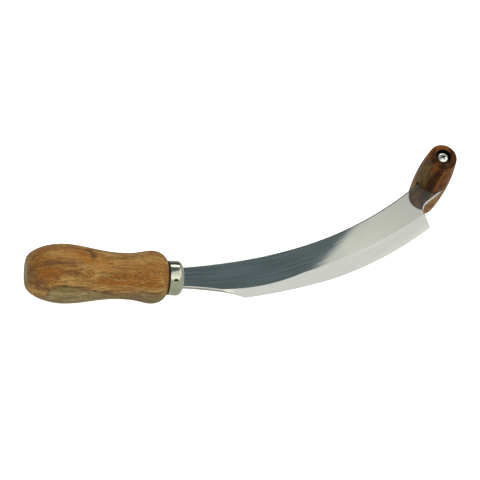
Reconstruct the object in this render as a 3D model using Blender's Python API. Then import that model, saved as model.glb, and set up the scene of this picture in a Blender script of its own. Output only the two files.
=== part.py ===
"""Two-handled curved knife, made as its separate pieces.

A long turned handle carries the blade in line with it. The blade curves up to a tab,
which sits in a slot in a small barrel handle that stands square to the blade. One
screw along the barrel handle holds the tab.

The pieces are drawn in a working frame: x runs along the main handle from the joint of
wood and ferrule towards the tip, y points from the cutting edge to the spine, and z is
square to the blade, with the blade's middle plane at z = 0. An empty then carries them
all, so that the knife lies on the plane z = 0 with the origin under its middle.
"""
import math

import bmesh
import bpy
from mathutils import Matrix, Vector

MM = 0.001
GAP = 0.3  # between pieces that touch

# Every dimension below is in millimetres.
# Blade
BLADE_THICKNESS = 3.0
EASED_EDGE = 0.5  # chamfer along the edges that aren't ground
CUTTING_EDGE_THICKNESS = 0.3
BLADE_ROOT_X = 9.7  # the neck's square shoulders, inside the ferrule's slot
NECK_TOP_Y = 7.9
NECK_BOTTOM_Y = -7.25
TANG_LENGTH = 62.0
TANG_ROOT_HALF_HEIGHT = 3.6
TANG_TIP_HALF_HEIGHT = 2.2
SCREW_HOLE_RADIUS = 2.4
SPINE_MIDDLE = (76.8, 21.75)  # where the spine's two arcs meet
SPINE_END = (175.4, 75.8)  # where the spine turns into the straight tab
GRIND_START = (34.6, -8.5)  # on the neck's underside
HEEL_X = 52.6
EDGE_END = (186.4, 46.3)  # before the tip's rounded corner
THROAT_CORNER = (183.4, 63.4)  # between the tip's end edge and the tab, before rounding
THROAT_RADIUS = 9.0
TAB_EDGE_HEADING = math.radians(40)
TAB_HEADING = math.radians(43.5)  # direction of the tab's back edge and the slot's bottom
TAB_END_RADIUS = 11.6  # the tab's end is rounded about the cross handle's axis

# Main handle
HANDLE_LENGTH = 95.5  # butt to ferrule
BUTT_FLAT_RADIUS = 8.7
BUTT_ANGLE = -86  # where its oval starts, in degrees from its top
BUTT_FULLNESS = 1.1
SWELL_RADIUS = 20.0
SWELL_FROM_BUTT = 24.5
WAIST_RADIUS = 15.6
WAIST_FROM_FERRULE = 32.0
BELLY_RADIUS = 17.85
BELLY_FROM_FERRULE = 10.7
BELLY_DELAY = 1.6  # keeps the waist slim for longer
SHOULDER_MIDDLE_RADIUS = 9.0  # centre of the oval that rounds the front down
SHOULDER_ANGLE = 66  # where that oval stops
FRONT_FACE_X = -0.3
FRONT_RADIUS = 11.8
BORE_RADIUS = 5.0
BORE_DEPTH = 58.0  # behind the ferrule's joint

# Ferrule, from a narrow groove in front of the wood to its front plane
FERRULE_BACK_X = 0.4
FERRULE_FRONT_X = 10.2
FERRULE_RADIUS = 11.8
FERRULE_WALL = 0.9
FERRULE_ROUNDING = 4.0

# Cross handle: a barrel along z, its axis at CROSS_X, CROSS_Y
CROSS_X = 193.8
CROSS_Y = 87.4
CROSS_ABOVE_BLADE = 31.0
CROSS_BELOW_BLADE = 33.5
CROSS_MIDDLE_RADIUS = 11.95
CROSS_END_RADIUS = 9.8
CROSS_ROUNDING = 1.8
BARREL_FULLNESS = 2.1  # over 2 keeps the barrel full for longer
SLOT_BOTTOM_OFFSET = 5.2  # from the barrel's axis to the slot's bottom
BORE_SPARE = 2.0  # past the screw's tip
BORE_POINT = 1.2

# Screw, 4 mm by 45 mm
COUNTERBORE_RADIUS = 5.0
COUNTERBORE_DEPTH = 4.1
SCREW_HEAD_RADIUS = 4.0
SCREW_HEAD_HEIGHT = 2.9
SCREW_HEAD_DOME = ((0.0, 0.0), (0.1, 1.6), (0.5, 2.9), (1.2, 3.7), (2.0, 4.0))  # depth, radius
SCREW_LENGTH = 45.0
SCREW_SHANK_RADIUS = 1.95
SCREW_THREAD_RADIUS = 2.0
SCREW_THREAD_LENGTH = 24.0
SCREW_PITCH = 2.0
SCREW_RIDGE = ((0.0, 1.5), (0.35, 1.4), (0.65, 2.0), (0.75, 2.0))  # share of the pitch, radius
SCREW_CORE_RADIUS = 1.3  # behind and in front of the thread
SCREW_SHOULDER = 0.5
SCREW_LEAD_IN = 1.0  # from the shank to the thread
SCREW_POINT_LENGTH = 3.5
RECESS_TURN = math.radians(20)
RECESS_ARM = 2.3
RECESS_HALF_WIDTH = 0.55
RECESS_DEPTH = 1.9
RECESS_TAPER = 0.5  # how much smaller the cross is at its bottom

# Whole knife, for the origin under its middle
KNIFE_MIDDLE_X = (CROSS_X + CROSS_MIDDLE_RADIUS - HANDLE_LENGTH) / 2
KNIFE_MIDDLE_Y = (CROSS_Y + CROSS_MIDDLE_RADIUS - SWELL_RADIUS) / 2

# Fineness
HANDLE_SIDES = 48
FERRULE_SIDES = 48
CROSS_SIDES = 40
SCREW_SIDES = 20


# ---------------------------------------------------------------- outlines

def arc_through(start, middle, end, steps):
    """Points of the circle arc from start through middle to end."""
    (ax, ay), (bx, by), (cx, cy) = start, middle, end
    twice_area = 2 * (ax * (by - cy) + bx * (cy - ay) + cx * (ay - by))
    a2, b2, c2 = ax * ax + ay * ay, bx * bx + by * by, cx * cx + cy * cy
    ox = (a2 * (by - cy) + b2 * (cy - ay) + c2 * (ay - by)) / twice_area
    oy = (a2 * (cx - bx) + b2 * (ax - cx) + c2 * (bx - ax)) / twice_area
    radius = math.hypot(ax - ox, ay - oy)
    first = math.atan2(ay - oy, ax - ox)
    turn = math.remainder(math.atan2(cy - oy, cx - ox) - first, math.tau)
    return [(ox + radius * math.cos(first + turn * i / steps),
             oy + radius * math.sin(first + turn * i / steps)) for i in range(steps + 1)]


def arc_about(centre, radius, first, last, steps):
    """Points of an arc about a centre, angles in radians."""
    return [(centre[0] + radius * math.cos(first + (last - first) * i / steps),
             centre[1] + radius * math.sin(first + (last - first) * i / steps))
            for i in range(steps + 1)]


def rounded_corner(before, corner, after, radius, steps):
    """Points of the arc that rounds off a corner between two straight runs."""
    corner = Vector(corner)
    to_before = (Vector(before) - corner).normalized()
    to_after = (Vector(after) - corner).normalized()
    half_angle = to_before.angle(to_after) / 2
    reach = radius / math.tan(half_angle)
    bisector = (to_before + to_after).normalized()
    middle = corner + bisector * (radius / math.sin(half_angle) - radius)
    return arc_through(corner + to_before * reach, middle, corner + to_after * reach, steps)


def chain(*stretches):
    """One list of points, without the repeats where stretches meet."""
    points = []
    for stretch in stretches:
        for point in stretch:
            point = Vector(point)
            if not points or (point - points[-1]).length > 0.01:
                points.append(point)
    return points


def inset(points, distance):
    """A closed counter-clockwise outline moved inwards."""
    moved = []
    for i, point in enumerate(points):
        into = (point - points[i - 1]).normalized()
        out = (points[(i + 1) % len(points)] - point).normalized()
        along = (into + out).normalized()
        inward = Vector((-along.y, along.x))
        moved.append(point + inward * distance / max(inward.dot(Vector((-into.y, into.x))), 0.5))
    return moved


def walk(points, fraction):
    """The point at a fraction of the length of a polyline."""
    lengths = [(b - a).length for a, b in zip(points, points[1:])]
    left = fraction * sum(lengths)
    for start, end, length in zip(points, points[1:], lengths):
        if left <= length:
            return start.lerp(end, left / length)
        left -= length
    return points[-1].copy()


def fractions(points):
    """How far along its polyline each point is, from 0 to 1."""
    lengths = [(b - a).length for a, b in zip(points, points[1:])]
    return [sum(lengths[:i]) / sum(lengths) for i in range(len(points))]


# ---------------------------------------------------------------- meshes

def add_object(name, bm, material, smooth_angle=35):
    """Make an object of a bmesh drawn in millimetres."""
    bmesh.ops.recalc_face_normals(bm, faces=bm.faces)
    bmesh.ops.scale(bm, vec=(MM, MM, MM), verts=bm.verts)
    mesh = bpy.data.meshes.new(name)
    bm.to_mesh(mesh)
    bm.free()
    mesh.shade_smooth()
    mesh.set_sharp_from_angle(angle=math.radians(smooth_angle))
    mesh.materials.append(material)
    item = bpy.data.objects.new(name, mesh)
    bpy.context.collection.objects.link(item)
    item.parent = knife
    return item


def add_cutter(name, bm):
    """A hidden solid that a Boolean takes away."""
    cutter = add_object(name, bm, cutter_paint)
    cutter.hide_render = True
    cutter.display_type = "WIRE"
    return cutter


def cut(item, cutter):
    boolean = item.modifiers.new("cut_" + cutter.name, "BOOLEAN")
    boolean.operation = "DIFFERENCE"
    boolean.solver = "EXACT"
    boolean.object = cutter


def turned(profile, sides):
    """A solid of revolution about x, from a profile of (x, radius) that starts and ends
    on the axis."""
    bm = bmesh.new()
    rings = []
    for x, radius in profile:
        if radius == 0:
            rings.append([bm.verts.new((x, 0, 0))])
            continue
        angles = [math.tau * i / sides for i in range(sides)]
        rings.append([bm.verts.new((x, radius * math.cos(a), radius * math.sin(a)))
                      for a in angles])
    join_rings(bm, rings, sides)
    return bm


def join_rings(bm, rings, sides):
    """Skin a row of rings. A ring of one vertex is a point on the axis."""
    for ring, following in zip(rings, rings[1:]):
        for i in range(sides):
            j = (i + 1) % sides
            if len(ring) == 1:
                bm.faces.new((ring[0], following[i], following[j]))
            elif len(following) == 1:
                bm.faces.new((ring[i], ring[j], following[0]))
            else:
                bm.faces.new((ring[i], ring[j], following[j], following[i]))


def stand_up(bm, x, y, z):
    """Turn a solid drawn along x to stand along z, with x = 0 at the point given."""
    turn = Matrix.Rotation(math.radians(-90), 4, "Y")
    bmesh.ops.transform(bm, matrix=Matrix.Translation((x, y, z)) @ turn, verts=bm.verts)


def box(size, centre, turn=0.0):
    bm = bmesh.new()
    place = (Matrix.Translation(centre) @ Matrix.Rotation(turn, 4, "Z")
             @ Matrix.Diagonal((*size, 1)))
    bmesh.ops.create_cube(bm, size=1, matrix=place)
    return bm


def material(name, colour, roughness, metallic):
    paint = bpy.data.materials.new(name)
    paint.use_nodes = True
    shader = paint.node_tree.nodes["Principled BSDF"]
    shader.inputs["Base Color"].default_value = (*colour, 1)
    shader.inputs["Roughness"].default_value = roughness
    shader.inputs["Metallic"].default_value = metallic
    return paint


# ---------------------------------------------------------------- blade

def spine():
    """From the tab down to the neck."""
    upper = arc_through(SPINE_END, (124.1, 41.1), SPINE_MIDDLE, 22)
    lower = arc_through(SPINE_MIDDLE, (41.5, 12.95), (BLADE_ROOT_X, NECK_TOP_Y), 12)
    return chain(upper, lower)


def neck_underside():
    """From the square shoulder to where the grind starts."""
    return arc_through((BLADE_ROOT_X, NECK_BOTTOM_Y), (22.0, -7.6), GRIND_START, 5)


def cutting_edge():
    """From the grind's start, round the heel, to the tip."""
    neck = arc_through(GRIND_START, (40.5, -9.4), (46.0, -10.5), 3)
    heel = rounded_corner((46.0, -10.5), (52.6, -12.9), (63.0, -11.1), 5.0, 4)
    first = arc_through((56.0, -12.3), (85.5, -5.2), (117.8, 5.3), 12)
    second = arc_through((117.8, 5.3), (151.0, 21.9), EDGE_END, 14)
    return chain(neck, heel, first, second)


def tip_corner():
    return rounded_corner(EDGE_END, (188.6, 47.9), THROAT_CORNER, 1.8, 4)


def tab():
    """From the top of the tip's end edge, round the hidden end, to the spine."""
    axis = Vector((CROSS_X, CROSS_Y))
    side_angle = TAB_EDGE_HEADING - math.pi / 2
    side = axis + TAB_END_RADIUS * Vector((math.cos(side_angle), math.sin(side_angle)))
    throat = rounded_corner(tip_corner()[-1], THROAT_CORNER, side, THROAT_RADIUS, 8)
    heading = Vector((math.cos(TAB_HEADING), math.sin(TAB_HEADING)))
    to_axis = axis - Vector(SPINE_END)
    half_chord = math.sqrt(TAB_END_RADIUS ** 2 - to_axis.cross(heading) ** 2)
    top_corner = Vector(SPINE_END) + heading * (to_axis.dot(heading) + half_chord)
    end = arc_about(axis, TAB_END_RADIUS, side_angle, math.radians(57), 12)
    rounded_top = rounded_corner(end[-1], top_corner, SPINE_END, 1.5, 3)
    return chain(throat, end, rounded_top)


def tang():
    """From the neck's top shoulder, round the tang, to its bottom shoulder."""
    tip_x = BLADE_ROOT_X - TANG_LENGTH
    upper = [(BLADE_ROOT_X, TANG_ROOT_HALF_HEIGHT), (tip_x + 2, TANG_TIP_HALF_HEIGHT),
             (tip_x, TANG_TIP_HALF_HEIGHT / 2)]
    lower = [(x, -y) for x, y in reversed(upper)]
    return chain(upper, lower)


def grind_line():
    """Where the ground bevel meets each flat, from the neck to the tip's end edge."""
    first = arc_through((34.6, -8.0), (62.0, -4.5), (93.8, 7.2), 14)
    second = arc_through((93.8, 7.2), (140.0, 28.8), (184.5, 57.8), 14)
    return chain(first, second)


def make_blade(paint):
    """A flat blank with eased edges, ground on both sides to the cutting edge."""
    sharp = cutting_edge()
    tip = chain(sharp[-1:], tip_corner())[1:]
    outline = chain(sharp, tip, tab(), spine(), tang(), neck_underside()[:-1])
    flat = inset(outline, EASED_EDGE)
    eased = BLADE_THICKNESS / 2 - EASED_EDGE
    half_edge = [eased] * len(outline)
    grind = grind_line()
    for i, fraction in enumerate(fractions(sharp)):
        flat[i] = walk(grind, fraction)
        fade = min(1, (outline[i].x - GRIND_START[0]) / (HEEL_X - GRIND_START[0]))
        half_edge[i] = eased + (CUTTING_EDGE_THICKNESS / 2 - eased) * fade
    for i in range(len(sharp), len(sharp) + len(tip)):
        flat[i] = grind[-1]
        half_edge[i] = CUTTING_EDGE_THICKNESS / 2

    bm = bmesh.new()
    half = BLADE_THICKNESS / 2
    loops = []
    for points, heights in ((flat, [half] * len(flat)), (outline, half_edge),
                            (outline, [-h for h in half_edge]), (flat, [-half] * len(flat))):
        loop = []
        for point, z in zip(points, heights):
            corner = (point.x, point.y, z)
            if loop and (loop[-1].co - Vector(corner)).length < 0.001:
                loop.append(loop[-1])
            else:
                loop.append(bm.verts.new(corner))
        loops.append(loop)
    for loop, following in zip(loops, loops[1:]):
        for i in range(len(outline)):
            j = (i + 1) % len(outline)
            corners = dict.fromkeys((loop[i], loop[j], following[j], following[i]))
            bm.faces.new(corners)
    bm.faces.new(dict.fromkeys(loops[0]))
    bm.faces.new(dict.fromkeys(loops[-1]))
    blade = add_object("blade", bm, paint, smooth_angle=12)

    hole = turned([(-BLADE_THICKNESS, 0), (-BLADE_THICKNESS, SCREW_HOLE_RADIUS),
                   (BLADE_THICKNESS, SCREW_HOLE_RADIUS), (BLADE_THICKNESS, 0)], SCREW_SIDES)
    stand_up(hole, CROSS_X, CROSS_Y, 0)
    cut(blade, add_cutter("screw_hole", hole))


# ---------------------------------------------------------------- main handle and ferrule

def swept_radius(start, end, power, steps):
    """A smooth run of a turned outline between two (x, radius) points where it is level.
    A power over 1 keeps it low for longer after the start."""
    points = []
    for i in range(1, steps + 1):
        t = i / steps
        rise = (1 - math.cos(math.pi * t ** power)) / 2
        points.append((start[0] + (end[0] - start[0]) * t,
                       start[1] + (end[1] - start[1]) * rise))
    return points


def quarter_oval(middle_x, middle_radius, reach, rise, first, last, steps, power=1.0):
    """Part of an oval in a turned outline; the angle is 0 at its top, in degrees. A power
    over 1 makes it slimmer at the shoulder."""
    angles = [math.radians(first + (last - first) * i / steps) for i in range(steps + 1)]
    return [(middle_x + math.copysign(reach * abs(math.sin(a)) ** power, a),
             middle_radius + rise * abs(math.cos(a)) ** power) for a in angles]


def main_handle_outline():
    butt_x = -HANDLE_LENGTH
    swell = (butt_x + SWELL_FROM_BUTT, SWELL_RADIUS)
    waist = (-WAIST_FROM_FERRULE, WAIST_RADIUS)
    belly = (-BELLY_FROM_FERRULE, BELLY_RADIUS)
    butt = quarter_oval(swell[0], BUTT_FLAT_RADIUS, SWELL_FROM_BUTT,
                        SWELL_RADIUS - BUTT_FLAT_RADIUS, BUTT_ANGLE, 0, 10,
                        power=BUTT_FULLNESS)
    shoulder = quarter_oval(belly[0], SHOULDER_MIDDLE_RADIUS, BELLY_FROM_FERRULE,
                            BELLY_RADIUS - SHOULDER_MIDDLE_RADIUS, 0, SHOULDER_ANGLE, 6)[1:]
    return (butt + swept_radius(swell, waist, 1.0, 9)
            + swept_radius(waist, belly, BELLY_DELAY, 7) + shoulder)


def make_main_handle(paint):
    spigot_radius = FERRULE_RADIUS - FERRULE_WALL - GAP
    spigot_end = FERRULE_FRONT_X - FERRULE_WALL - GAP
    spigot_chamfer = FERRULE_ROUNDING - FERRULE_WALL
    profile = [(-HANDLE_LENGTH, 0), *main_handle_outline(),
               (FRONT_FACE_X, FRONT_RADIUS), (FRONT_FACE_X, spigot_radius),
               (spigot_end - spigot_chamfer, spigot_radius),
               (spigot_end, spigot_radius - spigot_chamfer), (spigot_end, BORE_RADIUS),
               (-BORE_DEPTH, BORE_RADIUS), (-BORE_DEPTH - BORE_RADIUS / 2, 0)]
    return add_object("main_handle", turned(profile, HANDLE_SIDES), paint)


def make_ferrule(paint):
    """A drawn cup with a rounded front edge, open behind, slotted for the neck."""
    corner_x = FERRULE_FRONT_X - FERRULE_ROUNDING
    corner_radius = FERRULE_RADIUS - FERRULE_ROUNDING
    inner = FERRULE_ROUNDING - FERRULE_WALL
    outside = quarter_oval(corner_x, corner_radius, FERRULE_ROUNDING, FERRULE_ROUNDING, 0, 90, 6)
    inside = quarter_oval(corner_x, corner_radius, inner, inner, 90, 0, 4)
    profile = [(FERRULE_FRONT_X, 0), *reversed(outside), (FERRULE_BACK_X, FERRULE_RADIUS),
               (FERRULE_BACK_X, FERRULE_RADIUS - FERRULE_WALL), *reversed(inside),
               (FERRULE_FRONT_X - FERRULE_WALL, 0)]
    ferrule = add_object("ferrule", turned(profile, FERRULE_SIDES), paint)
    slot_top = NECK_TOP_Y + 2 * GAP
    slot_bottom = NECK_BOTTOM_Y - 2 * GAP
    slot = box((4 * FERRULE_WALL, slot_top - slot_bottom, BLADE_THICKNESS + 2 * GAP),
               (FERRULE_FRONT_X, (slot_top + slot_bottom) / 2, 0))
    cut(ferrule, add_cutter("ferrule_slot", slot))


def make_tang_adhesive(paint):
    """The cured adhesive: a plug that fills the bore, cast round the tang."""
    radius = BORE_RADIUS - GAP
    front = FERRULE_FRONT_X - FERRULE_WALL - 2 * GAP
    plug = add_object("tang_adhesive", turned(
        [(-BORE_DEPTH + GAP, 0), (-BORE_DEPTH + GAP, radius), (front, radius), (front, 0)],
        SCREW_SIDES), paint)
    back = BLADE_ROOT_X - TANG_LENGTH - GAP
    mouth = BLADE_ROOT_X + GAP
    bm = box((mouth - back, 2, BLADE_THICKNESS + 2 * GAP), ((mouth + back) / 2, 0, 0))
    for corner in bm.verts:
        at_mouth = corner.co.x > 0
        half_height = TANG_ROOT_HALF_HEIGHT if at_mouth else TANG_TIP_HALF_HEIGHT
        corner.co.y = math.copysign(half_height + GAP, corner.co.y)
    cut(plug, add_cutter("tang_pocket", bm))


# ---------------------------------------------------------------- cross handle and screw

def barrel_outline(length, steps):
    """Half of the barrel, from its middle to the edge of its flat end."""
    points = []
    straight = length - CROSS_ROUNDING
    for i in range(1, steps + 1):
        x = straight * i / steps
        points.append((x, CROSS_MIDDLE_RADIUS
                       - (CROSS_MIDDLE_RADIUS - CROSS_END_RADIUS) * (x / straight) ** BARREL_FULLNESS))
    return points + quarter_oval(straight, CROSS_END_RADIUS - CROSS_ROUNDING, CROSS_ROUNDING,
                                 CROSS_ROUNDING, 0, 90, 4)[1:]


def make_cross_handle(paint):
    above = barrel_outline(CROSS_ABOVE_BLADE, 8)
    below = [(-x, radius) for x, radius in reversed(barrel_outline(CROSS_BELOW_BLADE, 8))]
    counterbore_floor = CROSS_ABOVE_BLADE - COUNTERBORE_DEPTH
    bore_end = counterbore_floor - SCREW_LENGTH - BORE_SPARE
    profile = [(-CROSS_BELOW_BLADE, 0), *below, (0, CROSS_MIDDLE_RADIUS), *above,
               (CROSS_ABOVE_BLADE, COUNTERBORE_RADIUS), (counterbore_floor, COUNTERBORE_RADIUS),
               (counterbore_floor, SCREW_THREAD_RADIUS + GAP),
               (bore_end, SCREW_THREAD_RADIUS + GAP), (bore_end - BORE_POINT, 0)]
    bm = turned(profile, CROSS_SIDES)
    stand_up(bm, CROSS_X, CROSS_Y, 0)
    handle = add_object("cross_handle", bm, paint)

    reach = 2 * CROSS_MIDDLE_RADIUS
    across = Vector((math.sin(TAB_HEADING), -math.cos(TAB_HEADING), 0))
    centre = Vector((CROSS_X, CROSS_Y, 0)) + across * (reach / 2 - SLOT_BOTTOM_OFFSET)
    slot = box((2 * reach, reach, BLADE_THICKNESS + 2 * GAP), centre, TAB_HEADING)
    cut(handle, add_cutter("tab_slot", slot))


def screw_thread(bm, first_ring, start_x, turns, last_ring):
    """One helical ridge between two rings of the shank, with a flat root and crest."""
    sides = len(first_ring)
    steps = turns * sides

    def corner(step, part):
        share, radius = SCREW_RIDGE[part]
        angle = math.tau * step / sides
        return bm.verts.new((start_x - SCREW_PITCH * (step / sides + share),
                             radius * math.cos(angle), radius * math.sin(angle)))

    root = [corner(step, 0) for step in range(steps + sides + 1)]
    strips = [root] + [[corner(step, part) for step in range(steps + 1)] for part in (1, 2, 3)]
    strips.append(root[sides:])
    for strip, following in zip(strips, strips[1:]):
        for i in range(steps):
            bm.faces.new((strip[i], strip[i + 1], following[i + 1], following[i]))
    for i in range(sides):
        j = (i + 1) % sides
        bm.faces.new((first_ring[i], first_ring[j], root[i + 1], root[i]))
        bm.faces.new((root[steps + i], root[steps + i + 1], last_ring[j], last_ring[i]))
    bm.faces.new([first_ring[0]] + [strip[0] for strip in strips])
    bm.faces.new([last_ring[0]] + [strip[steps] for strip in reversed(strips)])


def recess_cutter():
    """A cross of four tapered arms, which narrows downwards; z = 0 is the head's seat."""
    bm = bmesh.new()
    corners = [(RECESS_ARM, -RECESS_HALF_WIDTH), (RECESS_ARM, RECESS_HALF_WIDTH),
               (RECESS_HALF_WIDTH, RECESS_HALF_WIDTH)]
    layers = []
    for z, scale in ((SCREW_HEAD_HEIGHT - RECESS_DEPTH, RECESS_TAPER), (SCREW_HEAD_HEIGHT + 0.5, 1)):
        layer = []
        for quarter in range(4):
            turn = Matrix.Rotation(math.radians(90 * quarter), 2)
            for corner in corners:
                layer.append(bm.verts.new((*(turn @ Vector(corner) * scale), z)))
        layers.append(layer)
    count = len(layers[0])
    for i in range(count):
        j = (i + 1) % count
        bm.faces.new((layers[0][i], layers[0][j], layers[1][j], layers[1][i]))
    for layer in layers:
        bm.faces.new(layer)
    return bm


def make_screw(paint):
    """Pan head wood screw, drawn along x with its head's seat at x = 0."""
    bm = bmesh.new()
    dome = [(SCREW_HEAD_HEIGHT - depth, radius) for depth, radius in SCREW_HEAD_DOME]
    thread_start = SCREW_THREAD_LENGTH - SCREW_LENGTH
    ridge_start = thread_start - SCREW_LEAD_IN
    point_start = SCREW_POINT_LENGTH - SCREW_LENGTH
    shank = [(0, SCREW_HEAD_RADIUS), (0, SCREW_SHANK_RADIUS), (thread_start, SCREW_SHANK_RADIUS),
             (thread_start - SCREW_SHOULDER, SCREW_CORE_RADIUS), (point_start, SCREW_CORE_RADIUS)]
    rings = []
    for x, radius in dome + shank:
        if radius == 0:
            rings.append([bm.verts.new((x, 0, 0))])
            continue
        rings.append([bm.verts.new((x, radius * math.cos(math.tau * i / SCREW_SIDES),
                                    radius * math.sin(math.tau * i / SCREW_SIDES)))
                      for i in range(SCREW_SIDES)])
    tip = [bm.verts.new((-SCREW_LENGTH, 0, 0))]
    join_rings(bm, rings[:-1], SCREW_SIDES)
    join_rings(bm, [rings[-1], tip], SCREW_SIDES)
    turns = int((ridge_start - point_start) / SCREW_PITCH) - 1
    screw_thread(bm, rings[-2], ridge_start, turns, rings[-1])
    seat = CROSS_ABOVE_BLADE - COUNTERBORE_DEPTH + GAP
    stand_up(bm, CROSS_X, CROSS_Y, seat)
    screw = add_object("cross_handle_screw", bm, paint)
    recess = recess_cutter()
    place = Matrix.Translation((CROSS_X, CROSS_Y, seat)) @ Matrix.Rotation(RECESS_TURN, 4, "Z")
    bmesh.ops.transform(recess, matrix=place, verts=recess.verts)
    cut(screw, add_cutter("cross_recess", recess))


# ---------------------------------------------------------------- assembly

for leftover in list(bpy.data.objects):
    bpy.data.objects.remove(leftover, do_unlink=True)

knife = bpy.data.objects.new("knife", None)
bpy.context.collection.objects.link(knife)
knife.location = (-KNIFE_MIDDLE_X * MM, -KNIFE_MIDDLE_Y * MM, CROSS_BELOW_BLADE * MM)
cutter_paint = material("cutter", (0.8, 0.1, 0.1), 0.5, 0.0)

make_main_handle(material("oiled_honey_wood", (0.36, 0.17, 0.06), 0.5, 0.0))
make_ferrule(material("polished_ferrule", (0.78, 0.78, 0.74), 0.15, 1.0))
make_blade(material("polished_blade_steel", (0.72, 0.74, 0.74), 0.12, 1.0))
make_tang_adhesive(material("cured_adhesive", (0.62, 0.52, 0.3), 0.5, 0.0))
make_cross_handle(material("oiled_dark_wood", (0.14, 0.055, 0.025), 0.45, 0.0))
make_screw(material("bright_screw_steel", (0.8, 0.8, 0.78), 0.2, 1.0))
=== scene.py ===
"""The two-handled curved knife, finished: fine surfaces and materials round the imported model.

The pieces are drawn in millimetres in a working frame: x runs along the main handle from the
joint of wood and ferrule towards the tip, y points from the cutting edge to the spine, and z
is square to the blade, with z = 0 in its middle plane. PLACE carries them to the row frame.
"""

import math

import bmesh
import bpy
from mathutils import Matrix, Vector


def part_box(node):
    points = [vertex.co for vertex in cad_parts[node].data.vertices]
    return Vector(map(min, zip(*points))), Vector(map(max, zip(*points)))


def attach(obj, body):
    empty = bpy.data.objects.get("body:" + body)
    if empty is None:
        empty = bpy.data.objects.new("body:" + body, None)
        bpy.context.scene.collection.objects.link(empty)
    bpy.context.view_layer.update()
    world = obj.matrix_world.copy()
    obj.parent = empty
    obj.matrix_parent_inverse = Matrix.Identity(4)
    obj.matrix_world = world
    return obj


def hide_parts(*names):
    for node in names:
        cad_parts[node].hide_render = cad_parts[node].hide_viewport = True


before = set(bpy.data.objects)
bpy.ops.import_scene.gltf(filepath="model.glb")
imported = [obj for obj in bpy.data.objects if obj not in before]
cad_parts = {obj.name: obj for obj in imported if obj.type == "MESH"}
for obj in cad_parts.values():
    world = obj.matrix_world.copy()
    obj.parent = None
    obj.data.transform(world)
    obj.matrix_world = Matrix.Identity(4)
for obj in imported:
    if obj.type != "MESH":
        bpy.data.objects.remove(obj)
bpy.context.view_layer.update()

MM = 0.001
SHARP_ANGLE = math.radians(35)  # edges that turn more than this look sharp
GAP = 0.3  # between pieces that touch

# Every size below is in millimetres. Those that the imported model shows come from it.
handle_low, handle_high = (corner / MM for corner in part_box("main_handle"))
ferrule_low, ferrule_high = (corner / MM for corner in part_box("ferrule"))
blade_low, blade_high = (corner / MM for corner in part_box("blade"))
cross_low, cross_high = (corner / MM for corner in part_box("cross_handle"))
screw_low, screw_high = (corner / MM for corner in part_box("cross_handle_screw"))

FERRULE_BACK_X = 0.4
ORIGIN = Vector((ferrule_low.x - FERRULE_BACK_X, (handle_low.y + handle_high.y) / 2,
                 (blade_low.z + blade_high.z) / 2))
PLACE = Matrix.Scale(MM, 4) @ Matrix.Translation(ORIGIN)

# Blade
BLADE_THICKNESS = blade_high.z - blade_low.z
EASED_EDGE = 0.5
EASED_WIDTH = 0.85  # buffing rounds the edges over this width
CUTTING_EDGE_THICKNESS = 0.3
BEVEL_FULLNESS = 0.4  # how rounded the bevel is near the tip; 0 is flat
ROUNDED_BEVEL_X = (95.0, 155.0)  # where it starts to be rounded, and where it is fully so
BLADE_ROOT_X = 9.7  # the neck's square shoulders, inside the ferrule's slot
NECK_TOP_Y = 7.9
NECK_BOTTOM_Y = -7.25
TANG_LENGTH = 62.0
TANG_ROOT_HALF_HEIGHT = 3.6
TANG_TIP_HALF_HEIGHT = 2.2
SCREW_HOLE_RADIUS = 2.4
BUFFED_X = (10.7, 16.7)  # where the buffed edges start to widen, and where they are full
SPINE_MIDDLE = (76.8, 21.75)  # where the spine's two arcs meet
SPINE_END = (175.4, 75.8)  # where the spine turns into the straight tab
GRIND_START = (34.6, -8.5)  # on the neck's underside
HEEL_X = 52.6
EDGE_END = (186.4, 46.3)  # before the tip's rounded corner
THROAT_CORNER = (183.4, 63.4)  # between the tip's end edge and the tab, before rounding
THROAT_RADIUS = 9.0
TAB_EDGE_HEADING = math.radians(40)
TAB_HEADING = math.radians(43.5)  # direction of the tab's back edge and the slot's bottom
TAB_SIDE_ANGLE = TAB_EDGE_HEADING - math.pi / 2
TAB_END_RADIUS = 11.6  # the tab's end is rounded about the cross handle's axis
TAB_CORNER_ANGLE = math.radians(57)  # where that round end meets the tab's back edge

# Main handle
BUTT_X = handle_low.x - ORIGIN.x
SWELL_RADIUS = (handle_high.y - handle_low.y) / 2
BUTT_FLAT_RADIUS = 8.7
BUTT_ANGLE = -86  # where its oval starts, in degrees from its top
BUTT_FULLNESS = 1.1
SWELL_FROM_BUTT = 24.5
WAIST_RADIUS = 15.6
WAIST_FROM_FERRULE = 32.0
BELLY_RADIUS = 17.85
BELLY_FROM_FERRULE = 10.7
BELLY_DELAY = 1.6  # keeps the waist slim for longer
SHOULDER_MIDDLE_RADIUS = 9.0  # centre of the oval that rounds the front down
SHOULDER_ANGLE = 66  # where that oval stops
FRONT_FACE_X = -0.3
FRONT_RADIUS = 11.8
BORE_RADIUS = 5.0
BORE_DEPTH = 58.0

# Ferrule
FERRULE_FRONT_X = ferrule_high.x - ORIGIN.x
FERRULE_RADIUS = (ferrule_high.y - ferrule_low.y) / 2
FERRULE_WALL = 0.9
FERRULE_ROUNDING = 4.0
FERRULE_RIM_ROUNDING = 0.3
FERRULE_BARREL = 0.22  # how much slimmer its ends are
PUNCH_X = 4.3  # a small punch mark holds the ferrule on the wood
PUNCH_ANGLE = math.radians(36)
PUNCH_PLACE = Vector((PUNCH_X, -math.sin(PUNCH_ANGLE) * FERRULE_RADIUS,
                      math.cos(PUNCH_ANGLE) * FERRULE_RADIUS))
PUNCH_RADIUS = 1.1
PUNCH_DEPTH = 0.4

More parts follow.
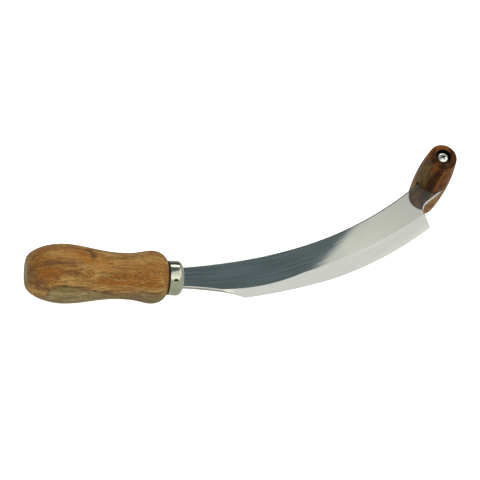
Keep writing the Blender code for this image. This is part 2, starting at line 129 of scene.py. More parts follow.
# Cross handle: a barrel along z
CROSS_X = (cross_low.x + cross_high.x) / 2 - ORIGIN.x
CROSS_Y = (cross_low.y + cross_high.y) / 2 - ORIGIN.y
CROSS_ABOVE_BLADE = cross_high.z - ORIGIN.z
CROSS_BELOW_BLADE = ORIGIN.z - cross_low.z
CROSS_MIDDLE_RADIUS = (cross_high.x - cross_low.x) / 2
CROSS_END_RADIUS = 9.8
CROSS_ROUNDING = 1.8
BARREL_FULLNESS = 2.1  # over 2 keeps the barrel full for longer
SLOT_BOTTOM_OFFSET = 5.2  # from the barrel's axis to the slot's bottom
BORE_SPARE = 2.0  # past the screw's tip
BORE_POINT = 1.2

# Screw
COUNTERBORE_RADIUS = 5.0
COUNTERBORE_DEPTH = 4.1
COUNTERBORE_FLOOR = CROSS_ABOVE_BLADE - COUNTERBORE_DEPTH
SCREW_HEAD_RADIUS = (screw_high.x - screw_low.x) / 2
SCREW_HEAD_HEIGHT = 2.9
SCREW_LENGTH = screw_high.z - screw_low.z - SCREW_HEAD_HEIGHT
SCREW_SHANK_RADIUS = 1.95
SCREW_THREAD_RADIUS = 2.0
SCREW_THREAD_LENGTH = 24.0
SCREW_PITCH = 2.0
SCREW_RIDGE = ((0.0, 1.5), (0.35, 1.4), (0.65, 2.0), (0.75, 2.0))  # share of the pitch, radius
SCREW_CORE_RADIUS = 1.3  # behind and in front of the thread
SCREW_SHOULDER = 0.5
SCREW_LEAD_IN = 1.0  # from the shank to the thread
SCREW_POINT_LENGTH = 3.5
RECESS_TURN = math.radians(20)
RECESS_ARM = 2.5
RECESS_HALF_WIDTH = 0.6
RECESS_DEPTH = 1.9
RECESS_TAPER = 0.5  # the cross's size at its bottom, as a share of that at its top
RECESS_OVERCUT = 0.5  # above the head
HEAD_DOME = 1.3  # how much of the head's height is domed

# Stage, in metres
SOFTBOX_HEIGHT = 1.03
SOFTBOX_HEADING = math.radians(49.3)  # of its long edges
SOFTBOX_PANELS = [  # from and to across its long edges, from and to along them, and its light
    ((0.080, 0.094), (-0.65, 0.66), 0.70, (1.0, 0.96, 0.86)),
    ((0.060, 0.080), (-0.65, 0.66), 0.81, (1.0, 0.95, 0.88)),
    ((0.030, 0.060), (-0.65, 0.66), 0.86, (1.0, 0.95, 0.89)),
    ((-0.85, 0.030), (-0.65, 1.25), 0.92, (1.0, 0.95, 0.90)),
]
SOFTBOX_PANELS += [((0.030, 0.094), (0.66 + 0.02 * i, 0.68 + 0.02 * i), 0.79 - 0.023 * i,
                    (1.0, 0.95, 0.85)) for i in range(6)]
SOFTBOX_PANELS += [((0.030, 0.094), (0.78, 1.25), 0.65, (1.0, 0.94, 0.80))]
BACK_LAMP = (0.27, 1.2, 0.81)
BACK_LAMP_SIZE = (0.5, 0.4)
BACK_LAMP_RADIANCE = 3.2
DOME_HEIGHT = 2.6
DOME_SIZE = (6.0, 6.0)
DOME_RADIANCE = 1.3
FLOOR_SIZE = 4.0
FLOOR_GLOW = 0.85  # the floor is a lit table, so that it stays white
BACKDROP_RADIUS = 3.8
BACKDROP_HEIGHT = 3.2
BACKDROP_SIDES = 64

# The camera, fitted to the photo. Its lens and sensor are in millimetres, its place in metres.
CAMERA_LENS = 225.225
CAMERA_SENSOR = 36.0
CAMERA_PLACE = (-0.443558, -0.999079, 1.758485)
CAMERA_RIGHT = (0.97538691, -0.07009079, 0.20906375)
CAMERA_UP = (-0.0423396, 0.87095647, 0.48953261)
CAMERA_BACK = (-0.21639716, -0.48633538, 0.84655193)

# Steel: the blade roughly follows a circle about BEND_CENTRE, which its figure is laid along
BEND_CENTRE = (5.0, 228.0)
SPINE_REACH = 233.5  # all of the spine is nearer than this to that centre
GRIND_REACH = 237.5  # so is the flat in the half near the ferrule
TIP_ACROSS = (0.948, 0.318, 0)  # square to the tip's end edge
TIP_REACH = 116.8  # how far that edge is from the centre in this direction
HAZE = 0.9  # how much of a broad, weak second reflection the polish leaves
STEEL, BRIGHTER_STEEL = (0.560, 0.567, 0.540), (0.590, 0.597, 0.570)
# The first is steel painted brighter along the grind line, a painted reflection
PAINTED_REFLECTION_BY_GRIND, STEEL_BY_TIP = (0.630, 0.638, 0.608), (0.535, 0.541, 0.515)
STREAK_DARK, STREAK_LIGHT = (0.45, 0.458, 0.458), (0.66, 0.667, 0.652)
# Painted dark reflection: colours for the spine's rim, its face and the tip's end edge
PAINTED_DARK_RIM, PAINTED_DARK_SPINE, PAINTED_DARK_END = (0.07, 0.076, 0.076), (0.20, 0.205, 0.20), (0.20, 0.20, 0.19)

# Wood figure, and along the top edge partly painted highlight. The patches of the main handle, by
# colour,
# the last on top: where one is along and across the side that faces up and forward, its half
# length, half width and strength.
GRAIN_TURN = math.radians(-30)
ORANGE, AMBER, TAN = (0.225, 0.077, 0.007), (0.300, 0.135, 0.026), (0.35, 0.205, 0.064)
SMOKY = (0.100, 0.048, 0.020)
KNOT = (0.045, 0.017, 0.004)
HANDLE_PATCHES = [
    (SMOKY, [(-92, -3.0, 12, 10.0, 0.5), (-86, -9.0, 12, 4.0, 0.4)]),
    (AMBER, [(-48, 8.0, 42, 7.0, 0.7), (-70, 16.0, 24, 5.0, 0.75), (-18, 4.0, 20, 8.0, 0.65)]),
    (ORANGE, [(-84, 0.5, 15, 4.8, 1.0), (-42, -4.5, 14, 3.0, 0.8), (-30, -0.5, 22, 4.0, 0.8),
        (-60, 14.5, 7, 3.5, 0.8), (-14, -2.0, 10, 5.0, 0.9), (-33, -5.0, 12, 2.5, 0.7),
        (-56, 9.5, 12, 2.0, 0.6)]),
    # The TAN patches 13 mm and more across lie along the top edge: partly wood figure, partly
    # painted highlight
    (TAN, [(-66, -3.5, 8, 3.6, 0.75), (-62, -6.5, 18, 2.6, 0.65), (-56, 5.0, 14, 2.8, 0.5),
        (-24, 14.4, 16, 2.2, 0.6), (-80, 13.0, 10, 4.0, 0.35), (-42, 14.0, 12, 2.4, 0.55),
        (-30, 9.0, 14, 2.2, 0.4), (-10, 13.0, 8, 3.0, 0.4), (-18.6, 11.0, 9, 2.6, 0.8),
        (-76, 14.0, 9, 3.2, 0.5)]),
    (SMOKY, [(-82, 6.6, 9, 2.4, 0.7), (-70, 7.4, 14, 1.8, 0.7), (-30, 4.6, 14, 1.2, 0.4),
        (-26, 13.6, 16, 1.1, 0.9), (-66, 17.5, 14, 1.4, 0.6)]),
    (KNOT, [(-52.5, 13.0, 3.5, 5.0, 0.75), (-55.5, 16.0, 4, 1.9, 0.85),
        (-21.6, 3.0, 2.4, 0.9, 0.8), (-41, 1.2, 3.0, 0.8, 0.7)]),
]
# The edge of the sapwood: (along, across) points.
SAPWOOD_EDGE = [(-96, -24), (-90, -19), (-83, -13.5), (-76, -9), (-66, -8.9), (-58, -9.0),
                (-50, -10.4), (-40, -12.0), (-28, -11.4), (-16, -9.3), (-8, -10.0), (0, -14.0)]
# A streak of the cross handle: the angle it is at about the axis, how deep it reaches in from
# there, its colour and how strong it is.
CROSS_STREAKS_AND_SHEEN = [
    (math.radians(-112), 0.5, (0.010, 0.004, 0.002), 0.9),
    # This grey-brown streak on the left side is a painted sheen
    (math.radians(-160), 4.0, (0.125, 0.076, 0.030), 0.85),
    (math.radians(-60), 2.6, (0.135, 0.047, 0.010), 0.75),
    (math.radians(-10), 2.0, (0.22, 0.105, 0.030), 0.75),
]
COUNTERBORE_SHADE = 1.0  # how far the painted shade reaches round the screw
PORE = (0.05, 0.024, 0.010)
WOOD_PORES = 0.00012  # how deep they are, in metres

# Fineness
END_EDGE_STEPS = 8
THROAT_FADE_STEPS = 10
FERRULE_STEPS = 24
HANDLE_SIDES = 128
FERRULE_SIDES = 192
CROSS_SIDES = 120
SCREW_SIDES = 40


# ---- outlines

def arc_through(start, middle, end, steps):
    """Points of the circle arc from start through middle to end."""
    (ax, ay), (bx, by), (cx, cy) = start, middle, end
    twice_area = 2 * (ax * (by - cy) + bx * (cy - ay) + cx * (ay - by))
    a2, b2, c2 = ax * ax + ay * ay, bx * bx + by * by, cx * cx + cy * cy
    ox = (a2 * (by - cy) + b2 * (cy - ay) + c2 * (ay - by)) / twice_area
    oy = (a2 * (cx - bx) + b2 * (ax - cx) + c2 * (bx - ax)) / twice_area
    radius = math.hypot(ax - ox, ay - oy)
    first = math.atan2(ay - oy, ax - ox)
    turn = math.remainder(math.atan2(cy - oy, cx - ox) - first, math.tau)
    return [(ox + radius * math.cos(first + turn * i / steps),
             oy + radius * math.sin(first + turn * i / steps)) for i in range(steps + 1)]


def arc_about(centre, radius, first, last, steps):
    """Points of an arc about a centre, angles in radians."""
    return [(centre[0] + radius * math.cos(first + (last - first) * i / steps),
             centre[1] + radius * math.sin(first + (last - first) * i / steps))
            for i in range(steps + 1)]


def rounded_corner(before, corner, after, radius, steps):
    """Points of the arc that rounds off a corner between two straight runs."""
    corner = Vector(corner)
    to_before = (Vector(before) - corner).normalized()
    to_after = (Vector(after) - corner).normalized()
    half_angle = to_before.angle(to_after) / 2
    reach = radius / math.tan(half_angle)
    bisector = (to_before + to_after).normalized()
    middle = corner + bisector * (radius / math.sin(half_angle) - radius)
    return arc_through(corner + to_before * reach, middle, corner + to_after * reach, steps)


def chain(*stretches):
    """One list of points, without the repeats where stretches meet."""
    points = []
    for stretch in stretches:
        for point in stretch:
            point = Vector(point)
            if not points or (point - points[-1]).length > 0.01:
                points.append(point)
    return points


def inset(points, distances):
    """A closed counter-clockwise outline moved inwards, by a distance for each point."""
    moved = []
    for i, (point, distance) in enumerate(zip(points, distances)):
        into = (point - points[i - 1]).normalized()
        out = (points[(i + 1) % len(points)] - point).normalized()
        along = (into + out).normalized()
        inward = Vector((-along.y, along.x))
        moved.append(point + inward * distance / max(inward.dot(Vector((-into.y, into.x))), 0.5))
    return moved


def walk(points, fraction):
    """The point at a fraction of the length of a polyline."""
    lengths = [(b - a).length for a, b in zip(points, points[1:])]
    left = fraction * sum(lengths)
    for start, end, length in zip(points, points[1:], lengths):
        if left <= length:
            return start.lerp(end, left / length)
        left -= length
    return points[-1].copy()


def fractions(points):
    """How far along its polyline each point is, from 0 to 1."""
    lengths = [(b - a).length for a, b in zip(points, points[1:])]
    return [sum(lengths[:i]) / sum(lengths) for i in range(len(points))]


# ---- meshes

def add_piece(name, bm, material, creased=False):
    """A piece from a bmesh drawn in the working frame. A creased one has its own sharp
    edges already; otherwise they are found by their angle."""
    bmesh.ops.recalc_face_normals(bm, faces=bm.faces)
    bmesh.ops.transform(bm, matrix=PLACE, verts=bm.verts)
    mesh = bpy.data.meshes.new(name)
    for face in bm.faces:
        face.smooth = True
    bm.to_mesh(mesh)
    bm.free()
    if not creased:
        mesh.set_sharp_from_angle(angle=SHARP_ANGLE)
    mesh.materials.append(material)
    piece = bpy.data.objects.new(name, mesh)
    bpy.context.collection.objects.link(piece)
    return piece


def cut_away(piece, bm):
    """Take a solid drawn in the working frame away from a piece, for good."""
    cutter = add_piece("cutter", bm, piece.data.materials[0], creased=True)
    boolean = piece.modifiers.new("cut", "BOOLEAN")
    boolean.operation = "DIFFERENCE"
    boolean.solver = "EXACT"
    boolean.object = cutter
    depsgraph = bpy.context.evaluated_depsgraph_get()
    finished = bpy.data.meshes.new_from_object(piece.evaluated_get(depsgraph))
    piece.modifiers.clear()
    piece.data = finished
    finished.set_sharp_from_angle(angle=SHARP_ANGLE)
    bpy.data.objects.remove(cutter)


def stand_for(piece, node):
    """The piece rides with the knife and hides the CAD node."""
    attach(piece, "root")
    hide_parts(node)


def join_rings(bm, rings):
    """Skin a row of rings. A ring of one vertex is a point on the axis."""
    sides = max(len(ring) for ring in rings)
    for ring, following in zip(rings, rings[1:]):
        for i in range(sides):
            j = (i + 1) % sides
            if len(ring) == 1:
                bm.faces.new((ring[0], following[i], following[j]))
            elif len(following) == 1:
                bm.faces.new((ring[i], ring[j], following[0]))
            else:
                bm.faces.new((ring[i], ring[j], following[j], following[i]))


def turned_rings(bm, profile, sides):
    """Rings about x for a profile of (x, radius)."""
    rings = []
    for x, radius in profile:
        angles = [math.tau * i / sides for i in range(sides)] if radius else [0.0]
        rings.append([bm.verts.new((x, radius * math.cos(a), radius * math.sin(a)))
                      for a in angles])
    return rings


def turned(profile, sides):
    """A solid of revolution about x, from a profile that starts and ends on the axis."""
    bm = bmesh.new()
    join_rings(bm, turned_rings(bm, profile, sides))
    return bm


def stand_up(bm, x, y, z):
    """Turn a solid drawn along x to stand along z, with x = 0 at the point given."""
    turn = Matrix.Rotation(math.radians(-90), 4, "Y")
    bmesh.ops.transform(bm, matrix=Matrix.Translation((x, y, z)) @ turn, verts=bm.verts)


def box(size, centre, turn=0.0):
    bm = bmesh.new()
    place = (Matrix.Translation(centre) @ Matrix.Rotation(turn, 4, "Z")
             @ Matrix.Diagonal((*size, 1)))
    bmesh.ops.create_cube(bm, size=1, matrix=place)
    return bm


# ---- shader nodes

class Value:
    """A number in a node tree, which can be reckoned with."""

    def __init__(self, nodes, socket):
        self.nodes = nodes
        self.socket = socket

    def __add__(self, other):
        return self.nodes.maths("ADD", self, other)

    def __sub__(self, other):
        return self.nodes.maths("SUBTRACT", self, other)

    def __rsub__(self, other):
        return self.nodes.maths("SUBTRACT", other, self)

    def __mul__(self, other):
        return self.nodes.maths("MULTIPLY", self, other)

    def __truediv__(self, other):
        return self.nodes.maths("DIVIDE", self, other)

    def __abs__(self):
        return self.nodes.maths("ABSOLUTE", self)

    def fade(self, start, end, low=0.0, high=1.0):
        """Goes smoothly from low to high as the number goes from start to end."""
        return self.nodes.value("ShaderNodeMapRange", {
            "Value": self, "From Min": start, "From Max": end, "To Min": low,
            "To Max": high}, interpolation_type="SMOOTHSTEP")


class Nodes:
    """A node tree, built one call at a time."""

    def __init__(self, tree):
        self.tree = tree

    def node(self, kind, inputs, **settings):
        made = self.tree.nodes.new(kind)
        for name, value in settings.items():
            setattr(made, name, value)
        for socket, value in inputs.items():
            self.feed(made.inputs[socket], value)
        return made

    def feed(self, socket, value):
        if isinstance(value, Value):
            value = value.socket
        if isinstance(value, bpy.types.NodeSocket):
            self.tree.links.new(value, socket)
        else:
            socket.default_value = value

    def value(self, kind, inputs, output=0, **settings):
        return Value(self, self.node(kind, inputs, **settings).outputs[output])

    def maths(self, operation, first, second=0.0):
        return self.value("ShaderNodeMath", {0: first, 1: second}, operation=operation)

    def parts(self, vector):
        made = self.node("ShaderNodeSeparateXYZ", {"Vector": vector})
        return [Value(self, socket) for socket in made.outputs]

    def vector(self, x, y, z=0.0):
        return self.node("ShaderNodeCombineXYZ", {"X": x, "Y": y, "Z": z}).outputs[0]

    def length(self, vector):
        return self.value("ShaderNodeVectorMath", {0: vector}, "Value", operation="LENGTH")

    def towards(self, vector, direction):
        """How far a vector reaches in a direction."""
        return self.value("ShaderNodeVectorMath", {0: vector, 1: direction}, "Value",
                          operation="DOT_PRODUCT")

    def mix(self, share, first, second):
        """A colour that goes from the first to the second as the share goes from 0 to 1."""
        made = self.node("ShaderNodeMix", {}, data_type="RGBA")
        for socket, value in ((0, share), (6, first), (7, second)):
            if isinstance(value, tuple) and len(value) == 3:
                value = (*value, 1)
            self.feed(made.inputs[socket], value)
        return made.outputs[2]


class Finish(Nodes):
    """A material and its nodes."""

    def __init__(self, name, **fixed):
        self.material = bpy.data.materials.new(name)
        self.material.use_nodes = True
        super().__init__(self.material.node_tree)
        self.shader = self.tree.nodes["Principled BSDF"]
        for socket, value in fixed.items():
            self.shader.inputs[socket.replace("_", " ")].default_value = value

    def millimetres(self, turn=0.0):
        """Working-frame coordinates, turned about x by an angle in radians."""
        place = self.node("ShaderNodeTexCoord", {}).outputs["Object"]
        local = self.node("ShaderNodeMapping", {
            "Vector": place, "Scale": (1 / MM, 1 / MM, 1 / MM), "Location": -ORIGIN})
        return self.node("ShaderNodeMapping", {
            "Vector": local.outputs[0], "Rotation": (turn, 0, 0)}).outputs[0]

    def stretched(self, place, scale, shift=(0, 0, 0)):
        return self.node("ShaderNodeMapping", {
            "Vector": place, "Scale": scale, "Location": shift}).outputs[0]

    def noise(self, place, scale, detail=2.0, roughness=0.5, distortion=0.0):
        """Noise of one scale, or of one for each axis."""
        if isinstance(scale, tuple):
            place, scale = self.stretched(place, scale), 1.0
        return self.value("ShaderNodeTexNoise", {
            "Vector": place, "Scale": scale, "Detail": detail, "Roughness": roughness,
            "Distortion": distortion}, "Fac")

    def ramp(self, value, stops):
        """A colour ramp from (position, colour) stops."""
        made = self.node("ShaderNodeValToRGB", {"Fac": value})
        elements = made.color_ramp.elements
        while len(elements) < len(stops):
            elements.new(1.0)
        for element, (position, colour) in zip(elements, stops):
            element.position = position
            element.color = (*colour, 1)
        return made.outputs["Color"]

    def curve(self, value, points):
        """A value carried through a curve of (from, to) points."""
        (first, _), (last, _) = points[0], points[-1]
        low = min(height for _, height in points)
        high = max(height for _, height in points)
        made = self.node("ShaderNodeFloatCurve", {"Value": (value - first) / (last - first)})
        line = made.mapping.curves[0]
        while len(line.points) < len(points):
            line.points.new(0.5, 0.5)
        for knot, (start, height) in zip(line.points, points):
            knot.location = ((start - first) / (last - first), (height - low) / (high - low))
        made.mapping.update()
        return Value(self, made.outputs[0]) * (high - low) + low

    def bump(self, height, distance):
        """Raise the surface by half of the height times the distance, in metres."""
        made = self.node("ShaderNodeBump", {
            "Height": height, "Distance": distance, "Strength": 0.5})
        self.feed(self.shader.inputs["Normal"], made.outputs[0])

    def colour(self, value):
        self.feed(self.shader.inputs["Base Color"], value)

    def roughness(self, value):
        self.feed(self.shader.inputs["Roughness"], value)


# ---- finishes

def blade_steel():
    """Mirror-polished steel with faint lengthwise streaks, a rougher spine, and painted dark
    reflection on the spine and on the tip's end edge.
    """
    steel = Finish("polished_blade_steel", Coat_Roughness=0.5)
    place = steel.millimetres()
    bend = steel.stretched(place, (1, 1, 0), (-BEND_CENTRE[0], -BEND_CENTRE[1], 0))
    reach = steel.length(bend)
    x, y, _ = steel.parts(bend)
    along = steel.vector(steel.maths("ARCTAN2", x, y) * 9.0, reach)
    inward = BLADE_THICKNESS / 2 - abs(steel.parts(place)[2])

    # The spine is seen end on, rougher and painted dark for the dark reflection it shows; towards
    # the tip its rounded rim is rougher and painted dark up to the flat
    tipward = x.fade(45.0, 75.0)
    spine_face = inward.fade((1.0 - tipward) * 0.08, 0.35 - tipward * 0.32)
    spine_face *= reach.fade(SPINE_REACH + 1, SPINE_REACH)
    # The tip's end edge is painted dark, a painted dark reflection
    past_tip = steel.towards(bend, TIP_ACROSS)
    tip_face = past_tip.fade(TIP_REACH - 0.6, TIP_REACH - 0.3) * y.fade(-166.0, -168.0)

    # Painted reflection makes the steel brighter along the grind line in the half towards the
    # tip, and the polish is streaked on the flat in the other half
    lines = steel.noise(along, 1.3, 3.0)
    polished = steel.mix(lines.fade(0.3, 0.7), STEEL, BRIGHTER_STEEL)
    level = reach - (x - 135.0) * 0.15
    painted_reflection_by_grind = level.fade(225.0, 240.0) * level.fade(244.5, 239.5)
    polished = steel.mix(painted_reflection_by_grind * x.fade(75.0, 115.0), polished, PAINTED_REFLECTION_BY_GRIND)
    polished = steel.mix(x.fade(135.0, 180.0, 0.0, 0.8), polished, STEEL_BY_TIP)
    fine = steel.noise(along, (0.30, 0.85, 1), 3.0, 0.6)
    broad = steel.noise(along, (0.75, 0.10, 1), 2.0)
    streaks = (fine * 0.65 + broad * 0.35).fade(0.38, 0.60)
    streaked = steel.mix(streaks, STREAK_DARK, STREAK_LIGHT)
    near_half = x.fade(118.0, 80.0) * reach.fade(GRIND_REACH + 1, GRIND_REACH - 1)
    polished = steel.mix(near_half, polished, streaked)
    # Painted dark reflection on the tip's end edge
    polished = steel.mix(tip_face, polished, PAINTED_DARK_END)
    # Painted dark reflection on the spine: near black on its rounded rim, dark grey on its face
    spine_dark_paint = steel.mix(inward.fade(0.35, 0.6), PAINTED_DARK_RIM, PAINTED_DARK_SPINE)
    steel.colour(steel.mix(spine_face, polished, spine_dark_paint))

    haze = steel.noise(place, 0.05, 2.0)
    steel.roughness(haze.fade(0.3, 0.7, 0.025, 0.04) + spine_face * 0.6)
    steel.feed(steel.shader.inputs["Metallic"], x.fade(160.0, 178.0, 1.0, 0.965))
    steel.feed(steel.shader.inputs["Coat Weight"], (1.0 - spine_face) * HAZE)
    steel.bump(lines, 0.000004)
    return steel.material


def ferrule_metal():
    """Bright plated ferrule, faintly brushed round its circumference, with painted shade in its
    punch mark.
    """
    metal = Finish("polished_ferrule", Metallic=1.0)
    place = metal.millimetres()
    brushed = metal.noise(place, (4.0, 0.15, 0.15), 2.0)
    from_punch = metal.stretched(place, (1, 1, 1), -PUNCH_PLACE)
    spread = metal.length(metal.stretched(from_punch, (0.55, 1, 1)))
    colour = metal.mix(brushed, (0.50, 0.51, 0.44), (0.58, 0.59, 0.52))
    # Painted shade: the punch mark's dent is painted near black
    metal.colour(metal.mix(spread.fade(1.2, 0.6), colour, (0.03, 0.028, 0.02)))
    metal.roughness(brushed.fade(0.3, 0.7, 0.12, 0.2))
    return metal.material


def screw_steel():
    """Bright plated screw with faint machining marks and painted shade in its recess."""
    metal = Finish("bright_screw_steel", Metallic=1.0)
    place = metal.stretched(metal.millimetres(), (1, 1, 1), (-CROSS_X, -CROSS_Y, 0))
    marks = metal.noise(place, 1.5, 3.0)
    colour = metal.mix(marks, (0.84, 0.84, 0.79), (0.95, 0.95, 0.90))
    from_axis = metal.length(metal.stretched(place, (1, 1, 0)))
    head_top = COUNTERBORE_FLOOR + GAP + SCREW_HEAD_HEIGHT
    # Painted shade darkens the inside of the recess
    painted_recess_shade = (from_axis.fade(RECESS_ARM + 0.2, RECESS_ARM)
              * metal.parts(place)[2].fade(head_top - 0.5, head_top - 0.9))
    metal.colour(metal.mix(painted_recess_shade, colour, (0.20, 0.20, 0.17)))
    metal.roughness(marks.fade(0.3, 0.7, 0.26, 0.4))
    return metal.material


def adhesive():
    """Cured amber adhesive, slightly cloudy."""
    amber = Finish("cured_adhesive")
    cloud = amber.noise(amber.millimetres(), 0.4, 3.0)
    amber.colour(amber.mix(cloud, (0.42, 0.30, 0.12), (0.62, 0.50, 0.27)))
    amber.roughness(cloud.fade(0.3, 0.7, 0.35, 0.6))
    return amber.material


def on_main_handle(x, across):
    """The surface point on the side seen from above and in front, across from the axis."""
    outline = main_handle_outline()
    radius = min(outline, key=lambda point: abs(point[0] - x))[1]
    return Vector((x, across, math.sqrt(radius ** 2 - across ** 2)))


def honey_wood():
    """Oiled honey-brown wood with its grain along the main handle: streaky heartwood over
    a band of olive sapwood, with a small knot, orange flecks and fine dark pores."""
    wood = Finish("oiled_honey_wood", Specular_IOR_Level=0.12)
    place = wood.millimetres(turn=GRAIN_TURN)
    sway = wood.noise(place, (0.03, 0.06, 0.06), 2.0)
    x, across, depth = wood.parts(place)
    swayed = wood.vector(x, across + (sway - 0.5) * 14.0, depth)

    broad = wood.noise(swayed, (0.016, 0.13, 0.13), 3.0, 0.55, 0.5)
    streak = wood.noise(swayed, (0.038, 0.9, 0.9), 4.0, 0.6, 0.35)
    fleck = wood.noise(swayed, (0.28, 1.7, 1.7), 3.0, 0.65)
    grain = streak * 0.46 + fleck * 0.12 + broad * 0.42
    colour = wood.ramp(grain, [(0.41, (0.115, 0.043, 0.008)), (0.455, (0.165, 0.069, 0.014)),
                               (0.502, (0.215, 0.100, 0.023)), (0.546, (0.265, 0.142, 0.038)),
                               (0.585, (0.310, 0.185, 0.056))])

    spots = [(tint, *spot) for tint, patches in HANDLE_PATCHES for spot in patches]
    for tint, spot_x, spot_across, half_length, half_width, strength in spots:
        offset = wood.stretched(place, (1, 1, 1), -on_main_handle(spot_x, spot_across))
        spread = wood.length(wood.stretched(
            offset, (1 / half_length, 1 / half_width, 1 / half_width)))
        ragged = spread + (streak - 0.5) * 2.4
        varied = wood.mix(fleck.fade(0.35, 0.65, 0.3, 0.0), tint, (0.06, 0.025, 0.008))
        colour = wood.mix(ragged.fade(1.15, 0.25, 0.0, strength), colour, varied)

    # The sapwood along the lower front of the handle, with a broken dark line at its edge
    ripple = (streak - 0.5) * 6.0 + (broad - 0.5) * 12.0
    above = across - wood.curve(x, SAPWOOD_EDGE) + ripple
    sap = wood.ramp(grain, [(0.41, (0.128, 0.084, 0.026)), (0.503, (0.190, 0.142, 0.060)),
                            (0.596, (0.270, 0.211, 0.099))])
    sap = wood.mix(x.fade(-50.0, -18.0, 0.0, 0.42), sap, (0.085, 0.062, 0.028))
    colour = wood.mix(above.fade(3.2, -2.8), colour, sap)
    line = abs(above).fade(1.3, 0.2, 0.0, 0.95)
    line *= fleck.fade(0.36, 0.52) * abs(x + 58.0).fade(34.0, 20.0, 0.3, 1.0)
    colour = wood.mix(line, colour, (0.045, 0.028, 0.010))

    # Growth rings, cut lengthwise, show as fine wavy lines
    rings = wood.noise(wood.stretched(swayed, (0.026, 0.42, 0.42), (3, 7, 1)), 1.0, 3.0, 0.6, 1.0)
    ring = abs(rings - 0.5).fade(0.06, 0.015) * fleck.fade(0.62, 0.42, 0.15, 0.7)
    colour = wood.mix(ring, colour, (0.075, 0.036, 0.013))
    pores = wood.noise(place, (0.55, 4.5, 4.5), 2.0, 0.6)
    colour = wood.mix(pores.fade(0.42, 0.32, 0.0, 0.28), colour, PORE)

    # End grain on the butt, and painted shade at the joint with the ferrule
    from_axis = wood.length(wood.stretched(place, (0, 1, 1)))
    end_grain = (x.fade(BUTT_X + 1.2, BUTT_X + 0.1, 0.0, 0.75)
                 * from_axis.fade(BUTT_FLAT_RADIUS, 0.6 * BUTT_FLAT_RADIUS))
    colour = wood.mix(end_grain, colour, (0.185, 0.165, 0.105))
    # Painted shade on the last of the shoulder, the front face and the spigot, by the ferrule
    colour = wood.mix(x.fade(-1.5, -0.8, 0.0, 0.93), colour, (0.02, 0.007, 0.002))
    wood.colour(colour)
    wood.roughness(streak.fade(0.3, 0.7, 0.55, 0.42))
    wood.bump(fleck + pores, WOOD_PORES)
    return wood.material


def dark_wood():
    """Oiled dark red-brown wood with its grain along the cross handle."""
    wood = Finish("oiled_dark_wood", Specular_IOR_Level=0.07)
    place = wood.stretched(wood.millimetres(), (1, 1, 1), (-CROSS_X, -CROSS_Y, 0))
    sway = wood.noise(place, (0.05, 0.05, 0.03), 2.0)
    x, y, z = wood.parts(place)
    swayed = wood.vector(x + (sway - 0.5) * 8.0, y, z)
    broad = wood.noise(swayed, (0.16, 0.16, 0.02), 3.0, 0.5, 0.6)
    streak = wood.noise(swayed, (0.9, 0.9, 0.07), 4.0, 0.6, 0.5)
    fleck = wood.noise(swayed, (1.6, 1.6, 0.5), 3.0, 0.6)
    grain = streak * 0.35 + fleck * 0.20 + broad * 0.45
    colour = wood.ramp(grain, [(0.40, (0.018, 0.005, 0.001)), (0.47, (0.052, 0.015, 0.002)),
                               (0.53, (0.100, 0.029, 0.004)), (0.61, (0.17, 0.065, 0.012))])
    # Streaks of the figure, and one painted sheen on the left side
    for angle, width, tint, strength in CROSS_STREAKS_AND_SHEEN:
        facing = wood.towards(swayed, (math.cos(angle), math.sin(angle), 0))
        share = facing.fade(CROSS_MIDDLE_RADIUS - width, CROSS_MIDDLE_RADIUS, 0.0, strength)
        varied = wood.mix(streak.fade(0.35, 0.6, 0.7, 0.0), tint, (0.02, 0.008, 0.004))
        colour = wood.mix(share, colour, varied)

    # The far half, below the blade, is painted lighter: painted light where the blade shades it
    far = z.fade(0.0, -4.0, 0.0, 0.8) * streak.fade(0.35, 0.55)
    colour = wood.mix(far, colour, (0.24, 0.115, 0.035))

    # The near end is darker, and painted shade makes it blackest round the screw, in and round
    # the counterbore
    end_grain = z.fade(CROSS_ABOVE_BLADE - 2.2, CROSS_ABOVE_BLADE - 0.7, 0.0, 0.85)
    leaning = broad + (y - x) * 0.015
    ringed = wood.ramp(leaning, [(0.36, (0.008, 0.005, 0.003)), (0.52, (0.040, 0.013, 0.004)),
                                 (0.64, (0.115, 0.036, 0.008))])
    colour = wood.mix(end_grain, colour, ringed)
    from_axis = wood.length(wood.stretched(place, (1, 1, 0)))
    counterbore_painted_shade = z.fade(COUNTERBORE_FLOOR - 1, COUNTERBORE_FLOOR) * from_axis.fade(
        COUNTERBORE_RADIUS + COUNTERBORE_SHADE, COUNTERBORE_RADIUS + 0.1)
    colour = wood.mix(counterbore_painted_shade, colour, (0.006, 0.003, 0.002))
    wood.colour(colour)
    wood.roughness(streak.fade(0.3, 0.7, 0.45, 0.33))
    wood.bump(fleck, WOOD_PORES)
    return wood.material


# ---- blade

def spine():
    """From the tab down to the neck."""
    upper = arc_through(SPINE_END, (124.1, 41.1), SPINE_MIDDLE, 66)
    lower = arc_through(SPINE_MIDDLE, (41.5, 12.95), (BLADE_ROOT_X, NECK_TOP_Y), 36)
    return chain(upper, lower)


def neck_underside():
    """From the square shoulder to where the grind starts."""
    return arc_through((BLADE_ROOT_X, NECK_BOTTOM_Y), (22.0, -7.6), GRIND_START, 15)


def cutting_edge():
    """From the grind's start, round the heel, to the tip."""
    neck = arc_through(GRIND_START, (40.5, -9.4), (46.0, -10.5), 10)
    heel = rounded_corner((46.0, -10.5), (52.6, -12.9), (63.0, -11.1), 5.0, 14)
    first = arc_through((56.0, -12.3), (85.5, -5.2), (117.8, 5.3), 40)
    second = arc_through((117.8, 5.3), (151.0, 21.9), EDGE_END, 48)
    return chain(neck, heel, first, second)


def tip_corner():
    return rounded_corner(EDGE_END, (188.6, 47.9), THROAT_CORNER, 1.8, 12)


